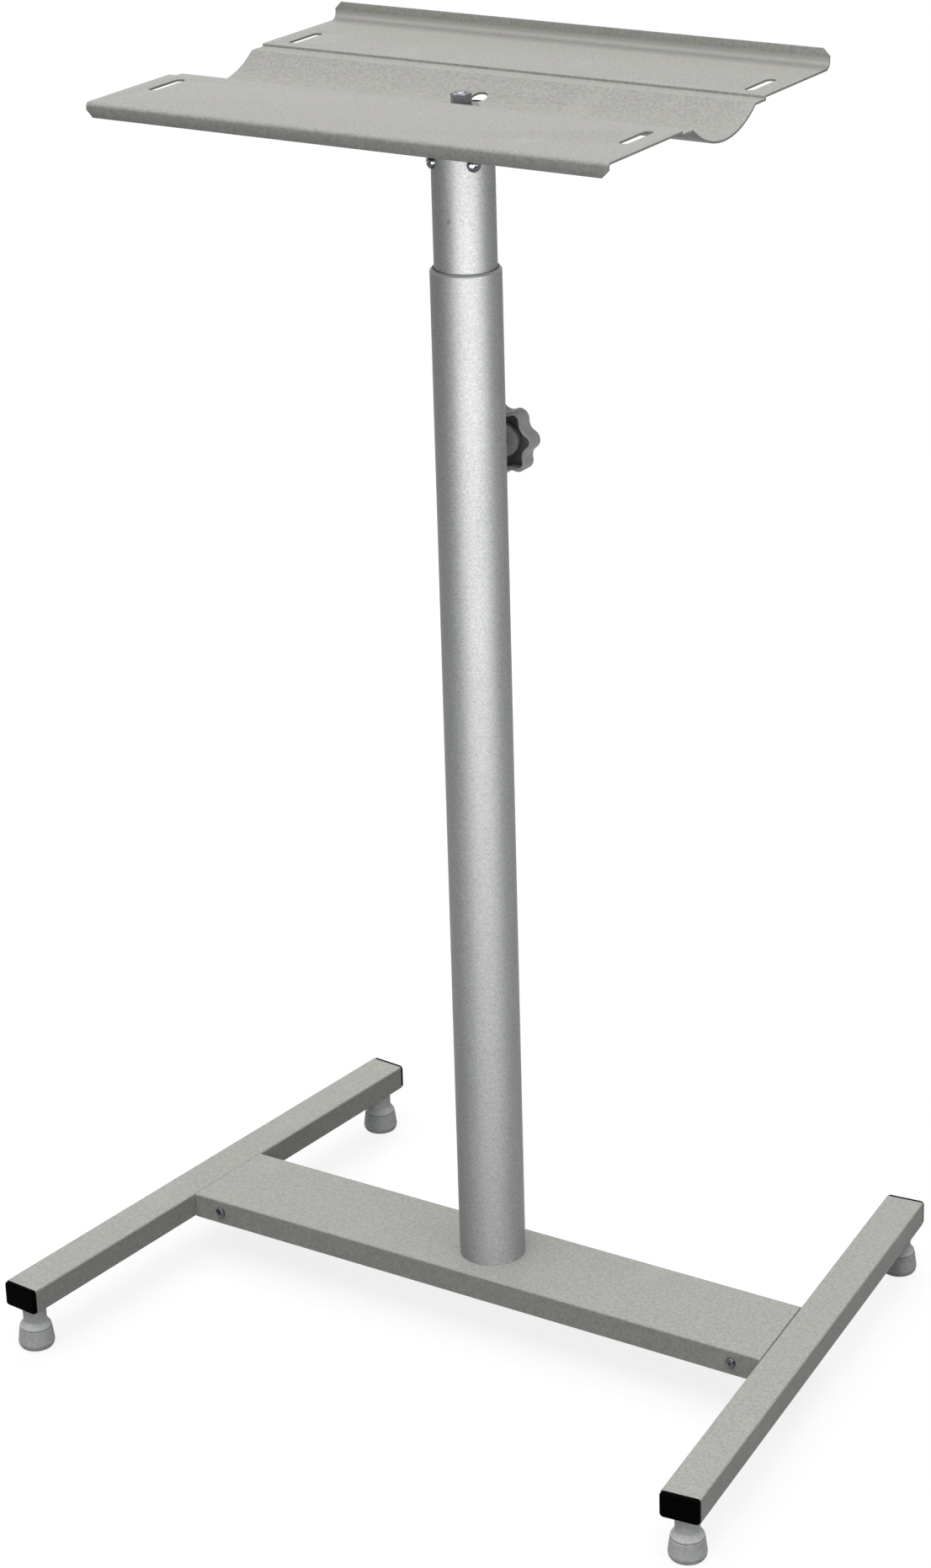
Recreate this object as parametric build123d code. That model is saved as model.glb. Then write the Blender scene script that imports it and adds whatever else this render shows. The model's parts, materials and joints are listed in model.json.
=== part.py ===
from build123d import *
import math
import os

# Portable stand with a height-set column, a splayed base and a folded sheet tray.
# Millimetres. The origin is on the floor under the column's axis.
# X runs along the cross beam, Y along the rails with the front at -Y, Z up.

# Fits between pieces
FIT = 0.1               # radial gap of a plug in its tube
RUN = 0.05              # radial gap of a guide on the tube it guides
SEAM = 0.3              # seam between the beam's end and a rail
LIFT = 0.3              # gap from the clamp stud's tip to the inner tube

# Base rails
RAIL_W = 30.0
RAIL_H = 20.0
RAIL_T = 1.5
RAIL_LEN = 444.0
RAIL_GAP = 494.0        # between the rails' inner faces, on the beam's middle line
SPLAY = 5.6             # degrees; the rails stand wider at the front
RAIL_R = 1.5

# Rail caps
CAP_T = 3.5
CAP_CORNER = 3.0        # radius of the cap's corners
CAP_BEVEL = 1.2
CAP_FIT = 0.2
CAP_HOLLOW = 2.0        # wall left round the hollow of a cap's plug

# Feet
FOOT_IN = 15.0          # foot axis back from the cap's outer face
NECK_H = 14.4
NECK_R = 9.0
CONE_H = 4.0
COLLAR_H = 1.6
COLLAR_R = 12.0
TIP_H = 17.0
TIP_R = 13.9
TIP_TOP_R = 12.5
TIP_WIDE = 5.0          # level of the tip's widest line
CREASE = 0.7            # groove between the collar and the tip
SOLE_BEVELS = ((3.6, 0.0), (1.4, 1.0), (0.4, 2.6))   # in from the widest line, and up from the floor
FOOT_STUD_R = 4.0
FOOT_STUD_L = 8.0
CAP_PLUG = FOOT_IN - CAP_T - FOOT_STUD_R - 1.0   # stops short of the foot's stud

FLOOR_TO_RAIL = TIP_H + COLLAR_H + CONE_H + NECK_H
BASE_TOP = FLOOR_TO_RAIL + RAIL_H

# Cross beam
BEAM_W = 80.0
BEAM_T = 2.0
BEAM_R = 1.5
BEAM_H = RAIL_H

# Beam brackets
BRACKET_L = 45.0
BRACKET_T = 3.0
BRACKET_DROP = 2.0      # bracket's lower edge above the beam's lower edge

# Column
TUBE_R = 25.0
TUBE_T = 2.0
TUBE_L = 768.0
TUBE_BORE = TUBE_R - TUBE_T
RIM_Z = BASE_TOP + TUBE_L

# Column foot
PLUG_H = 16.0
BOLT_R = 5.0
BOLT_HEX = 17.0
BOLT_HEAD = 6.4
WASHER_R = 20.0
WASHER_T = 3.0
BOLT_UP = 12.0          # bolt's reach into the plug

# Inner tube
INNER_R = 22.0
INNER_T = 1.5
INNER_L = 600.0
INNER_BORE = INNER_R - INNER_T

# Rim bush
RIM_H = 2.0
RIM_EDGE = 1.4
RIM_LIP_R = INNER_R + 1.0
RIM_LIP_D = 1.4
RIM_GUIDE = 34.0

# Slide bush at the inner tube's lower end
SLIDE_H = 12.0
SLIDE_SPIGOT = 16.0
SLIDE_BORE = 15.0

# Clamp
KNOB_Z = BASE_TOP + 634.0
BOSS_R = 8.5
BOSS_END = 34.0
BOSS_SPIGOT_R = 6.0
STUD_R = 4.0
STUD_FIT = 0.08
KNOB_BACK = 40.0        # open side's distance from the column's axis
KNOB_DEPTH = 12.0
KNOB_R = 26.2           # over the lobes
KNOB_LOBES = 7
KNOB_TURN = 5.1
LOBE_R = 7.0
VALLEY_IN = 21.7        # radius at the bottom of each valley
KNOB_WALL = 2.8
KNOB_FACE = 3.5
KNOB_EDGE = 1.2
HUB_R = 12.0
HUB_BACK = KNOB_BACK + 2.5
STUD_IN_HUB = 6.0

# Tray
SHEET = 1.5
TRAY_X = 400.0
TRAY_Y = 302.0
TRAY_Z = BASE_TOP + 895.0    # top of the plates
PLATE_IN = 55.9              # inner edge of each plate, from the column's axis
LEDGE_IN = 42.3              # inner edge of each ledge
STEP = 2.15
TROUGH_R = 68.0
LIP_DOWN = 10.0
LIP_UP = 12.8
BEND_R = 3.0
LIP_CHAMFER = 5.0
SLOT_X = 182.0
SLOT_Y = 84.0
SLOT_L = 37.0
SLOT_W = 5.0
HOLE_Y = 22.5
HOLE_R = 6.0

# Tray fixing
NUT_HEX = 13.0
NUT_H = 6.8
TRAY_BOLT_R = 4.0
TRAY_BOLT_HOLE = 4.4
TRAY_BOLT_HEAD = 5.5
TRAY_BOLT_END = 2.3
SADDLE_R = 12.0
SADDLE_TOP = 3.1             # saddle washer's top above the trough's lowest line
SPRING_R = 7.4
SPRING_H = 2.0
HEAD_MID = 2.5               # top plug's thickness over the inner tube at its middle
SPIGOT_L = 45.0
SPIGOT_BORE = 14.0
SPIGOT_WEB = 8.0

# Levels that follow from the sizes above
LEDGE_Z = TRAY_Z - STEP
TROUGH_ZC = LEDGE_Z + math.sqrt(TROUGH_R ** 2 - LEDGE_IN ** 2)
TROUGH_LOW = TROUGH_ZC - TROUGH_R
TROUGH_UNDER = TROUGH_LOW - SHEET
INNER_TOP = TROUGH_UNDER - HEAD_MID
INNER_END = INNER_TOP - INNER_L


# Shared shapes

def disc(radius, low, high, x=0.0, y=0.0):
    """Upright cylinder between two levels."""
    return Pos(x, y, (low + high) / 2) * Cylinder(radius, high - low)


def ring(outer, inner, low, high):
    """Upright ring between two levels."""
    return disc(outer, low, high) - disc(inner, low - 1, high + 1)


def hexagon(across, low, high):
    """Upright hexagonal prism between two levels."""
    sketch = RegularPolygon(across / 2, 6, major_radius=False)
    return Pos(0, 0, low) * extrude(sketch, high - low)


def rod_y(radius, start, end, z):
    """Cylinder along Y at x = 0."""
    return Pos(0, (start + end) / 2, z) * Rot(90, 0, 0) * Cylinder(radius, end - start)


def at_rail(side, shape):
    """Place a shape drawn against a rail: x = 0 on the inner face, Y along the rail."""
    return Pos(side * RAIL_GAP / 2, 0, 0) * Rot(0, 0, side * SPLAY) * shape


def foot_spot(end):
    """Place along a rail of the foot's axis at one end."""
    return end * (RAIL_LEN / 2 + CAP_T - FOOT_IN)


# Base

def rail(side):
    """Rectangular tube with a hole in its lower wall for each foot's stud."""
    z = FLOOR_TO_RAIL + RAIL_H / 2
    tube = Box(RAIL_W, RAIL_LEN, RAIL_H)
    tube = fillet(tube.edges().filter_by(Axis.Y), RAIL_R)
    tube -= Box(RAIL_W - 2 * RAIL_T, RAIL_LEN + 2, RAIL_H - 2 * RAIL_T)
    tube = Pos(side * RAIL_W / 2, 0, z) * tube
    for end in (-1, 1):
        hole = disc(FOOT_STUD_R + FIT, FLOOR_TO_RAIL - 1, FLOOR_TO_RAIL + RAIL_T + 1,
                    side * RAIL_W / 2, foot_spot(end))
        tube -= hole
    return at_rail(side, tube)


def rail_cap(side, end):
    """Moulded cap: a rounded flange over the rail's end and a plug inside it."""
    flange = Box(RAIL_W, CAP_T, RAIL_H)
    flange = fillet(flange.edges().filter_by(Axis.Y), CAP_CORNER)
    outer = flange.faces().sort_by(Axis.Y)[0]
    flange = chamfer(outer.edges(), CAP_BEVEL)
    plug_w = RAIL_W - 2 * RAIL_T - 2 * CAP_FIT
    plug_h = RAIL_H - 2 * RAIL_T - 2 * CAP_FIT
    plug = Pos(0, (CAP_T + CAP_PLUG) / 2, 0) * Box(plug_w, CAP_PLUG, plug_h)
    hollow = Box(plug_w - 2 * CAP_HOLLOW, CAP_PLUG, plug_h - 2 * CAP_HOLLOW)
    plug -= Pos(0, CAP_T / 2 + CAP_PLUG / 2 + CAP_HOLLOW, 0) * hollow
    cap = flange + plug
    if end > 0:
        cap = Rot(0, 0, 180) * cap
    z = FLOOR_TO_RAIL + RAIL_H / 2
    return at_rail(side, Pos(side * RAIL_W / 2, end * (RAIL_LEN + CAP_T) / 2, z) * cap)


def turned(outline, side, end):
    """Shape turned about a foot's axis, standing under a rail."""
    shape = revolve(Plane.XZ * make_face(Polyline(*outline, close=True)), Axis.Z)
    return at_rail(side, Pos(side * RAIL_W / 2, foot_spot(end), 0) * shape)


def foot_collar(side, end):
    """Stud, neck, cone and collar that carry a foot's tip under the rail."""
    cone_low = TIP_H + COLLAR_H
    neck_low = cone_low + CONE_H
    top = FLOOR_TO_RAIL
    outline = [(0, TIP_H), (COLLAR_R, TIP_H), (COLLAR_R, cone_low), (NECK_R, neck_low), (NECK_R, top),
               (FOOT_STUD_R, top), (FOOT_STUD_R, top + FOOT_STUD_L), (0, top + FOOT_STUD_L)]
    return turned(outline, side, end)


def foot_tip(side, end):
    """Soft foot, flared to its widest line and drawn in again to the sole."""
    sole = [(TIP_R - inset, rise) for inset, rise in SOLE_BEVELS]
    top = [(TIP_R, TIP_WIDE), (TIP_TOP_R, TIP_H - CREASE), (TIP_TOP_R - CREASE, TIP_H)]
    return turned([(0, 0)] + sole + top + [(0, TIP_H)], side, end)


def beyond_rail(side, gap):
    """Block that fills everything outward of a rail's inner face, less a gap."""
    return at_rail(side, Pos(side * (100 - gap), 0, BASE_TOP - BEAM_H / 2) * Box(200, 300, 3 * BEAM_H))


def cross_beam():
    """Folded channel, open below, its ends cut to the splay of the rails."""
    z = BASE_TOP - BEAM_H / 2
    beam = Box(RAIL_GAP + 60, BEAM_W, BEAM_H)
    top = beam.faces().sort_by(Axis.Z)[-1]
    beam = fillet(top.edges().filter_by(Axis.X), BEAM_R)
    beam -= Pos(0, 0, -BEAM_T) * Box(RAIL_GAP + 80, BEAM_W - 2 * BEAM_T, BEAM_H)
    beam = Pos(0, 0, z) * beam
    for side in (-1, 1):
        beam -= beyond_rail(side, SEAM)
    beam -= disc(BOLT_R + 0.5, BASE_TOP - BEAM_T - 1, BASE_TOP + 1)
    return beam


def bracket(side):
    """U-shaped bracket on the rail's inner face, inside the channel."""
    inside = BEAM_W - 2 * BEAM_T
    low = BASE_TOP - BEAM_H + BRACKET_DROP
    high = BASE_TOP - BEAM_T
    z = (low + high) / 2
    reach = BRACKET_L + 30
    block = Pos(side * (RAIL_GAP / 2 - BRACKET_L + reach / 2), 0, z) * Box(reach, inside, high - low)
    block -= beyond_rail(side, 0)
    core = Box(2 * reach, inside - 2 * BRACKET_T, 3 * BEAM_H)
    core = Pos(side * (RAIL_GAP / 2 - BRACKET_L), 0, z) * core
    core -= beyond_rail(side, BRACKET_T)
    return block - core


# Column

def column_tube():
    """Outer tube with the hole for the clamp's boss."""
    tube = ring(TUBE_R, TUBE_BORE, BASE_TOP, RIM_Z)
    return tube - rod_y(BOSS_SPIGOT_R + FIT, 0, TUBE_R + 5, KNOB_Z)


def base_plug():
    """Plug in the tube's lower end, tapped for the bolt from below."""
    plug = ring(TUBE_BORE - FIT, BOLT_R + FIT, BASE_TOP, BASE_TOP + PLUG_H)
    return chamfer(plug.edges().group_by(Axis.Z)[-1].sort_by(SortBy.RADIUS)[-1], 1.0)


def base_washer():
    """Round plate under the beam's web."""
    top = BASE_TOP - BEAM_T
    return ring(WASHER_R, BOLT_R + FIT, top - WASHER_T, top)


def base_bolt():
    """Hexagon bolt that pulls the column down on the beam."""
    under = BASE_TOP - BEAM_T - WASHER_T
    head = hexagon(BOLT_HEX, under - BOLT_HEAD, under)
    return head + disc(BOLT_R, under - 1, BASE_TOP + BOLT_UP)


def rim_bush():
    """Guide in the tube's mouth, with a bevelled rim and a thin gap inside it."""
    rim = disc(TUBE_R - 0.2, RIM_Z, RIM_Z + RIM_H)
    rim = chamfer(rim.edges().group_by(Axis.Z)[-1], RIM_EDGE)
    sleeve = disc(TUBE_BORE - FIT, RIM_Z - RIM_GUIDE, RIM_Z + 0.5)
    bush = rim + sleeve
    bush -= disc(INNER_R + RUN, RIM_Z - RIM_GUIDE - 1, RIM_Z + RIM_H + 1)
    return bush - disc(RIM_LIP_R, RIM_Z + RIM_H - RIM_LIP_D, RIM_Z + RIM_H + 1)


def clamp_boss():
    """Tapped boss on the back of the tube, with a spigot in the tube's wall."""
    boss = rod_y(BOSS_R, 0, BOSS_END, KNOB_Z)
    boss -= disc(TUBE_R + RUN, KNOB_Z - 3 * BOSS_R, KNOB_Z + 3 * BOSS_R)
    spigot = rod_y(BOSS_SPIGOT_R, TUBE_R - TUBE_T + 0.6, TUBE_R + 3, KNOB_Z)
    boss = boss + spigot
    return boss - rod_y(STUD_R + STUD_FIT, 0, BOSS_END + 1, KNOB_Z)


# Clamp knob

def polar(radius, degrees):
    """Point at a distance and an angle from the origin."""
    angle = math.radians(degrees)
    return (radius * math.cos(angle), radius * math.sin(angle))


def star(shrink):
    """Outline of rounded lobes and valleys that run into each other, drawn smaller by the given amount."""
    half = 180 / KNOB_LOBES
    lobe_at = KNOB_R - LOBE_R
    cosine = math.cos(math.radians(half))
    square = lobe_at ** 2 + VALLEY_IN ** 2 - 2 * lobe_at * VALLEY_IN * cosine - LOBE_R ** 2
    valley_r = square / (2 * (LOBE_R - VALLEY_IN + lobe_at * cosine))
    valley_at = VALLEY_IN + valley_r
    share = (LOBE_R - shrink) / (LOBE_R + valley_r)
    outline = []
    for i in range(KNOB_LOBES):
        turn = 2 * half * i
        lobe = polar(lobe_at, turn)
        joins = []
        for way in (-1, 1):
            valley = polar(valley_at, turn + way * half)
            joins.append((lobe[0] + share * (valley[0] - lobe[0]), lobe[1] + share * (valley[1] - lobe[1])))
        outline.append(ThreePointArc(joins[0], polar(KNOB_R - shrink, turn), joins[1]))
        following = polar(lobe_at, turn + 2 * half)
        valley = polar(valley_at, turn + half)
        end = (following[0] + share * (valley[0] - following[0]), following[1] + share * (valley[1] - following[1]))
        outline.append(ThreePointArc(joins[1], polar(VALLEY_IN - shrink, turn + half), end))
    return make_face(outline)


def knob_frame(y):
    """Plane square to the knob's axis, facing the rear, turned to the lobes."""
    return Plane(origin=(0, y, KNOB_Z), x_dir=(1, 0, 0), z_dir=(0, 1, 0)) * Rot(0, 0, -KNOB_TURN)


def star_knob():
    """Lobed knob, hollow towards the column, with a hub for the stud."""
    body = extrude(knob_frame(KNOB_BACK) * star(0), KNOB_DEPTH)
    rear = body.faces().sort_by(Axis.Y)[-1]
    body = chamfer(rear.edges(), KNOB_EDGE)
    body -= extrude(knob_frame(KNOB_BACK) * star(KNOB_WALL), KNOB_DEPTH - KNOB_FACE)
    body += rod_y(HUB_R, HUB_BACK, KNOB_BACK + KNOB_DEPTH - 1, KNOB_Z)
    return body - rod_y(STUD_R + FIT, 0, HUB_BACK + STUD_IN_HUB, KNOB_Z)


def clamp_stud():
    """Screwed rod from the hub to just short of the inner tube."""
    stud = rod_y(STUD_R, INNER_R + LIFT, HUB_BACK + STUD_IN_HUB, KNOB_Z)
    return chamfer(stud.edges().group_by(Axis.Y)[0], 0.8)


# Inner tube and tray

def slide_bush():
    """Guide ring under the inner tube, with a spigot inside it."""
    guide = disc(TUBE_BORE - RUN, INNER_END - SLIDE_H, INNER_END)
    guide = chamfer(guide.edges().group_by(Axis.Z)[0], 0.8)
    guide += disc(INNER_BORE - FIT, INNER_END - 1, INNER_END + SLIDE_SPIGOT)
    return guide - disc(SLIDE_BORE, INNER_END - SLIDE_H - 1, INNER_END + SLIDE_SPIGOT + 1)


def inner_tube():
    """Sliding tube that carries the tray."""
    return ring(INNER_R, INNER_BORE, INNER_END, INNER_TOP)


def trough_round(radius):
    """Cylinder along X about the trough's centre line."""
    return Pos(0, 0, TROUGH_ZC) * Rot(0, 90, 0) * Cylinder(radius, TRAY_X + 10)


def top_plug():
    """Plug in the inner tube whose saddle top fits the trough's underside."""
    head = disc(INNER_R, INNER_TOP, INNER_TOP + 12)
    head -= trough_round(TROUGH_R + SHEET)
    plug = head + disc(INNER_BORE - FIT, INNER_TOP - SPIGOT_L, INNER_TOP + 0.5)
    plug -= disc(SPIGOT_BORE, INNER_TOP - SPIGOT_L - 1, INNER_TOP - SPIGOT_WEB)
    return plug - disc(TRAY_BOLT_HOLE, INNER_TOP - SPIGOT_WEB - 1, INNER_TOP + 12)


def corner(y, z, quarter_y, quarter_z):
    """Quarter ring of sheet; its centre is at (y, z) and it bulges the given way."""
    piece = Circle(BEND_R) - Circle(BEND_R - SHEET)
    keep = Pos(quarter_y * BEND_R / 2, quarter_z * BEND_R / 2) * Rectangle(BEND_R, BEND_R)
    return Pos(y, z) * (piece & keep)


def span(y0, y1, z0, z1):
    """Rectangle between two places and two levels."""
    return Pos((y0 + y1) / 2, (z0 + z1) / 2) * Rectangle(abs(y1 - y0), abs(z1 - z0))


def tray_section():
    """The folded sheet's section across the trough."""
    edge = TRAY_Y / 2
    under = TRAY_Z - SHEET
    section = Pos(0, TROUGH_ZC) * (Circle(TROUGH_R + SHEET) - Circle(TROUGH_R))
    section = section & span(-LEDGE_IN - 1.2, LEDGE_IN + 1.2, LEDGE_Z - 3 * TROUGH_R, LEDGE_Z)
    for way in (-1, 1):
        section += span(way * LEDGE_IN, way * (PLATE_IN + SHEET), LEDGE_Z - SHEET, LEDGE_Z)
        section += span(way * PLATE_IN, way * (PLATE_IN + SHEET), LEDGE_Z - SHEET, TRAY_Z)
        section += span(way * PLATE_IN, way * (edge - BEND_R), under, TRAY_Z)
    section += corner(-edge + BEND_R, TRAY_Z - BEND_R, -1, 1)
    section += span(-edge, -edge + SHEET, TRAY_Z - LIP_DOWN, TRAY_Z - BEND_R)
    section += corner(edge - BEND_R, under + BEND_R, 1, -1)
    section += span(edge - SHEET, edge, under + BEND_R, TRAY_Z + LIP_UP)
    return section


def slot(x, y):
    """Cutter for one strap slot along Y."""
    cut = extrude(SlotOverall(SLOT_L, SLOT_W, rotation=90), 3 * SHEET, both=True)
    return Pos(x, y, TRAY_Z) * cut


def lip_corner(side, y, z):
    """Cutter that takes the corner off a lip's end."""
    size = LIP_CHAMFER * math.sqrt(2)
    return Pos(side * TRAY_X / 2, y, z) * Rot(0, 45, 0) * Box(size, 3 * SHEET, size)


def tray():
    """Sheet tray with plates, joggles, trough, lips, slots and holes."""
    sheet = extrude(Plane.YZ * tray_section(), TRAY_X / 2, both=True)
    for side in (-1, 1):
        sheet -= lip_corner(side, -TRAY_Y / 2, TRAY_Z - LIP_DOWN)
        sheet -= lip_corner(side, TRAY_Y / 2, TRAY_Z + LIP_UP)
        for way in (-1, 1):
            sheet -= slot(side * SLOT_X, way * SLOT_Y)
    sheet -= disc(TRAY_BOLT_HOLE, TROUGH_UNDER - 2, TROUGH_LOW + 2)
    return sheet - disc(HOLE_R, TROUGH_UNDER - 2, LEDGE_Z, 0, HOLE_Y)


def tray_washer():
    """Saddle washer on the trough's floor with a spring washer on top."""
    top = TROUGH_LOW + SADDLE_TOP
    saddle = disc(SADDLE_R, TROUGH_LOW - 2, top) & trough_round(TROUGH_R)
    washer = saddle + disc(SPRING_R, top - 0.5, top + SPRING_H)
    return washer - disc(TRAY_BOLT_HOLE, TROUGH_LOW - 3, top + SPRING_H + 1)


def tray_nut():
    """Nut that holds the tray down."""
    low = TROUGH_LOW + SADDLE_TOP + SPRING_H
    nut = hexagon(NUT_HEX, low, low + NUT_H)
    return nut - disc(TRAY_BOLT_R + FIT, low - 1, low + NUT_H + 1)


def tray_bolt():
    """Bolt up through the top plug, the tray, the washers and the nut."""
    seat = INNER_TOP - SPIGOT_WEB
    end = TROUGH_LOW + SADDLE_TOP + SPRING_H + NUT_H + TRAY_BOLT_END
    bolt = hexagon(NUT_HEX, seat - TRAY_BOLT_HEAD, seat) + disc(TRAY_BOLT_R, seat - 1, end)
    return chamfer(bolt.edges().group_by(Axis.Z)[-1], 0.8)


def build():
    """All pieces by name."""
    pieces = {
        "cross_beam": cross_beam(),
        "column_tube": column_tube(),
        "base_plug": base_plug(),
        "base_washer": base_washer(),
        "base_bolt": base_bolt(),
        "rim_bush": rim_bush(),
        "clamp_boss": clamp_boss(),
        "star_knob": star_knob(),
        "clamp_stud": clamp_stud(),
        "slide_bush": slide_bush(),
        "inner_tube": inner_tube(),
        "top_plug": top_plug(),
        "tray": tray(),
        "tray_washer": tray_washer(),
        "tray_nut": tray_nut(),
        "tray_bolt": tray_bolt(),
    }
    for side, hand in ((-1, "left"), (1, "right")):
        pieces[f"{hand}_rail"] = rail(side)
        pieces[f"{hand}_bracket"] = bracket(side)
        for end, place in ((-1, "front"), (1, "rear")):
            pieces[f"{hand}_{place}_cap"] = rail_cap(side, end)
            pieces[f"{hand}_{place}_foot_collar"] = foot_collar(side, end)
            pieces[f"{hand}_{place}_foot_tip"] = foot_tip(side, end)
    return pieces


os.makedirs("parts", exist_ok=True)
for name, shape in build().items():
    export_step(shape, f"parts/{name}.step")
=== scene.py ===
"""Portable stand: a splayed base, a round telescoping column and a folded sheet tray, on a pale floor."""
import json
import logging
import math
from collections.abc import Callable
from dataclasses import dataclass
from enum import Enum
from typing import Union

import bmesh
import bpy
from mathutils import Matrix, Vector

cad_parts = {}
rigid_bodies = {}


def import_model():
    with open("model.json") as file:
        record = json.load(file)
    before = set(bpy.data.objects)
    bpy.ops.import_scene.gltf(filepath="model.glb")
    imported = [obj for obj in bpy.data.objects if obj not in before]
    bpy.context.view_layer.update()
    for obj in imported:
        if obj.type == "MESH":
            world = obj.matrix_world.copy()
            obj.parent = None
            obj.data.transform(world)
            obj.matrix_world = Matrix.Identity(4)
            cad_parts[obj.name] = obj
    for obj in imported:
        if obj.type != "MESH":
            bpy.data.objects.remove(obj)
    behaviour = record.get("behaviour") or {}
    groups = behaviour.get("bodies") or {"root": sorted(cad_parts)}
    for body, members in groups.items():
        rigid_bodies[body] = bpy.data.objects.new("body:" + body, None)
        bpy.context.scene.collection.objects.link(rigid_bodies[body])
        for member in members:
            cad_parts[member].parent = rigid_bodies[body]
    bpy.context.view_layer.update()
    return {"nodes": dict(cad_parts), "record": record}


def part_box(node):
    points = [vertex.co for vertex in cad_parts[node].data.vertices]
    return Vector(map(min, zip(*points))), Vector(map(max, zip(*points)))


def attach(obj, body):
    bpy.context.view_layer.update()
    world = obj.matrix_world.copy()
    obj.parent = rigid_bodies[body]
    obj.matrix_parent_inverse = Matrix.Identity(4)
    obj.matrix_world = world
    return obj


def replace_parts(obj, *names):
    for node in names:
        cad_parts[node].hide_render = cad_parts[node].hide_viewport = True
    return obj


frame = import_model()

log = logging.getLogger("stand")
MM = 0.001
Profile = list[tuple[float, float]]
Colour = tuple[float, float, float]
Place = tuple[float, float, float]
Value = Union["Wire", float, Colour]
WHITE: Colour = (1.0, 1.0, 1.0)
COOLER: Colour = (0.975, 1.01, 1.01)
WARMER: Colour = (1.025, 0.992, 0.995)
CLOUD_SPAN = (0.35, 0.65)
SPECK_SPAN = (0.34, 0.66)
SHARP = math.radians(35)
TINY = 1e-6


class Body(Enum):
    """The rigid bodies that a piece can ride on."""

    BASE = "base"
    KNOB = "knob"
    MAST = "mast"


class Slot(Enum):
    """The record's material slots."""

    COAT = "coated_steel"
    TUBE = "satin_aluminium"
    CAP = "black_plastic"
    COLLAR = "foot_collar_grey"
    TIP = "foot_rubber_grey"
    BUSH = "bush_plastic"
    KNOB = "knob_plastic"
    ZINC = "zinc_steel"


# Shader building


class Wire:
    """A value in a shader tree; arithmetic on it adds Math nodes."""

    def __init__(self, sheet: "Sheet", socket: bpy.types.NodeSocket) -> None:
        """Keep the socket and the tree it belongs to.

        Args:
            sheet: The shader tree being built.
            socket: The output socket that carries the value.
        """
        self.sheet = sheet
        self.socket = socket

    def _math(self, operation: str, first: Value, second: Value) -> "Wire":
        """Join two values with a Math node.

        Args:
            operation: The Math node's operation.
            first: A wire or a number.
            second: A wire or a number.

        Returns:
            The result as a wire.
        """
        return self.sheet.node("ShaderNodeMath", {"operation": operation}, {0: first, 1: second})

    def __add__(self, other: Value) -> "Wire":
        """Sum."""
        return self._math("ADD", self, other)

    def __radd__(self, other: Value) -> "Wire":
        """Sum with a number on the left."""
        return self._math("ADD", other, self)

    def __sub__(self, other: Value) -> "Wire":
        """Difference."""
        return self._math("SUBTRACT", self, other)

    def __rsub__(self, other: Value) -> "Wire":
        """Difference from a number."""
        return self._math("SUBTRACT", other, self)

    def __mul__(self, other: Value) -> "Wire":
        """Product."""
        return self._math("MULTIPLY", self, other)

    def __rmul__(self, other: Value) -> "Wire":
        """Product with a number on the left."""
        return self._math("MULTIPLY", other, self)

    def at_least(self, other: Value) -> "Wire":
        """The larger of two values."""
        return self._math("MAXIMUM", self, other)


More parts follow.
